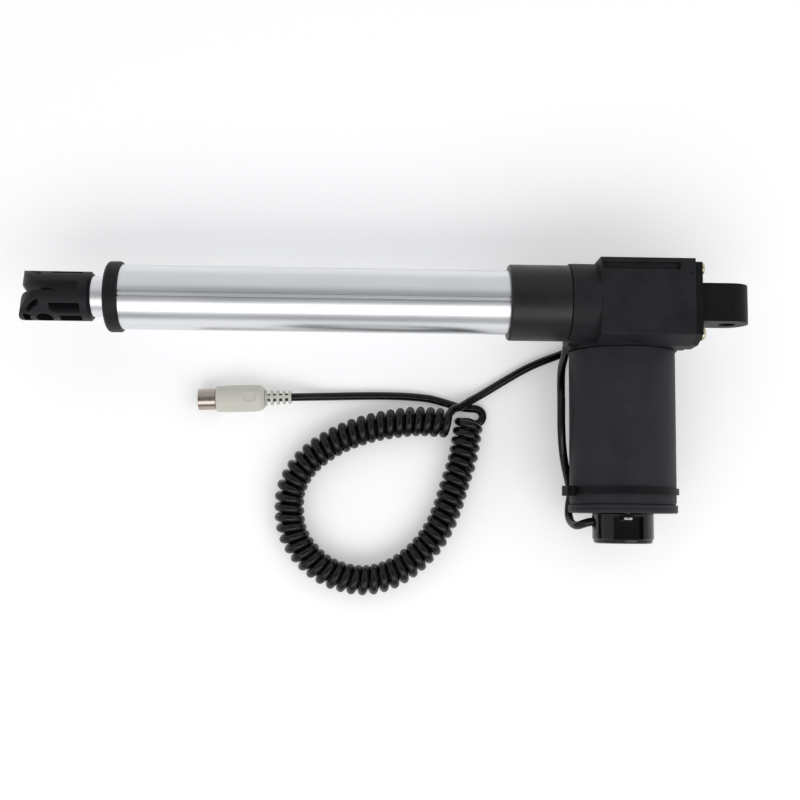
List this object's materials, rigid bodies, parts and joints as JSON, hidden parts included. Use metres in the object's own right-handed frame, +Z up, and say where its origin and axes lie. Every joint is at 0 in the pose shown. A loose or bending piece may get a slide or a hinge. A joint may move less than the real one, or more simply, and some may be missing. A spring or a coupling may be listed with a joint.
{
  "type": "linear actuator",
  "caption": "Compact linear actuator: an aluminium tube with an extending slotted rod end, a worm gearbox, a motor set square to the tube, a rear pin lug and a coiled cord with a round plug.",
  "frame": {"origin": "middle of the base of the actuator without its cord, on the surface it lies on", "axes": "+X along the tube towards the rear pin lug, -X towards the rod end, -Y along the motor towards its end cap, +Z up"},
  "size_m": [0.4274, 0.1982, 0.0777],
  "materials": {
    "moulded_black": "fine grained moulded nylon",
    "motor_cover_black": "matt dark grey-black",
    "gloss_black": "gloss",
    "rod_end_nylon": "glass-filled nylon",
    "bearing_plastic": "white acetal",
    "satin_aluminium": "satin anodised extrusion",
    "bright_steel": "ground",
    "yellow_zinc": "yellow zinc plate",
    "sintered_bronze": "sintered",
    "enamelled_copper": "enamelled wire",
    "ferrite": "sintered",
    "carbon": "pressed carbon",
    "circuit_board": "solder resist",
    "cord_black": "semi-gloss jacket",
    "plug_grey": "light warm grey moulding",
    "nickel": "nickel plate",
    "seal_rubber": "matt"
  },
  "bodies": {
    "housing": {"outer_tube": "satin_aluminium", "front_end_cap": "moulded_black", "rod_wiper_seal": "seal_rubber", "rod_guide_bush": "bearing_plastic", "tube_sleeve": "moulded_black", "gearbox_housing": "moulded_black", "rear_mount_plate": "moulded_black", "rear_plate_screw_1": "yellow_zinc", "rear_plate_screw_2": "yellow_zinc", "rear_plate_screw_3": "yellow_zinc", "rear_plate_screw_4": "yellow_zinc", "screw_front_bush": "sintered_bronze", "rear_bearing_outer_ring": "bright_steel", "worm_tip_bush": "sintered_bronze", "motor_cover": "motor_cover_black", "motor_can": "bright_steel", "motor_mount_screw_1": "yellow_zinc", "motor_mount_screw_2": "yellow_zinc", "motor_front_bush": "sintered_bronze", "motor_rear_bush": "sintered_bronze", "motor_end_plate": "moulded_black", "motor_end_cap": "gloss_black", "end_cap_screw": "bright_steel", "upper_magnet": "ferrite", "lower_magnet": "ferrite", "brush_holder": "rod_end_nylon", "carbon_brush_1": "carbon", "carbon_brush_2": "carbon", "brush_spring_1": "bright_steel", "brush_spring_2": "bright_steel", "limit_switch_board": "circuit_board", "extend_limit_switch": "moulded_black", "retract_limit_switch": "moulded_black", "cable_tie": "gloss_black", "cord_lead": "cord_black", "cord_coil": "cord_black", "cord_plug_lead": "cord_black", "plug_strain_relief": "plug_grey", "plug_body": "plug_grey", "plug_shell": "nickel", "plug_insert": "rod_end_nylon"},
    "rotor": {"motor_shaft": "bright_steel", "worm": "bright_steel", "armature_core": "bright_steel", "armature_windings": "enamelled_copper", "commutator": "enamelled_copper"},
    "screw": {"lead_screw": "bright_steel", "worm_wheel": "sintered_bronze", "wheel_key": "bright_steel", "screw_lock_nut": "bright_steel", "screw_tip_guide": "bearing_plastic", "rear_bearing_inner_ring": "bright_steel", "rear_bearing_balls": "bright_steel"},
    "nut_carriage": {"drive_nut": "bearing_plastic", "nut_retaining_ring": "bright_steel"},
    "rod_end": {"push_tube": "bright_steel", "front_clevis": "rod_end_nylon", "clevis_cross_pin": "bright_steel"},
    "extend_plunger": {"extend_switch_plunger": "bearing_plastic"},
    "retract_plunger": {"retract_switch_plunger": "bearing_plastic"}
  },
  "joints": [
    {"name": "motor_spin", "type": "hinge", "parent": "housing", "child": "rotor", "pos_m": [0.14295, 0.05865, 0.0332], "axis": [0, -1, 0], "range_deg": [0, 150010]},
    {"name": "screw_spin", "type": "hinge", "parent": "housing", "child": "screw", "pos_m": [0.14295, 0.05865, 0.0542], "axis": [1, 0, 0], "range_deg": [0, 6001]},
    {"name": "rod_slide", "type": "slide", "parent": "housing", "child": "nut_carriage", "axis": [-1, 0, 0], "range_m": [0, 0.2]},
    {"name": "rod_end_swivel", "type": "hinge", "parent": "nut_carriage", "child": "rod_end", "pos_m": [-0.19885, 0.05865, 0.0542], "axis": [1, 0, 0], "range_deg": [-75, 15]},
    {"name": "extend_switch_press", "type": "slide", "parent": "housing", "child": "extend_plunger", "axis": [-1, 0, 0], "range_m": [0, 0.0006], "stiffness_N_per_m": 400},
    {"name": "retract_switch_press", "type": "slide", "parent": "housing", "child": "retract_plunger", "axis": [1, 0, 0], "range_m": [0, 0.0006], "stiffness_N_per_m": 400}
  ],
  "couplings": [
    {"joint": "motor_spin", "follows": "rod_slide", "rad_per_m": 13090},
    {"joint": "screw_spin", "follows": "rod_slide", "rad_per_m": 523.6}
  ]
}
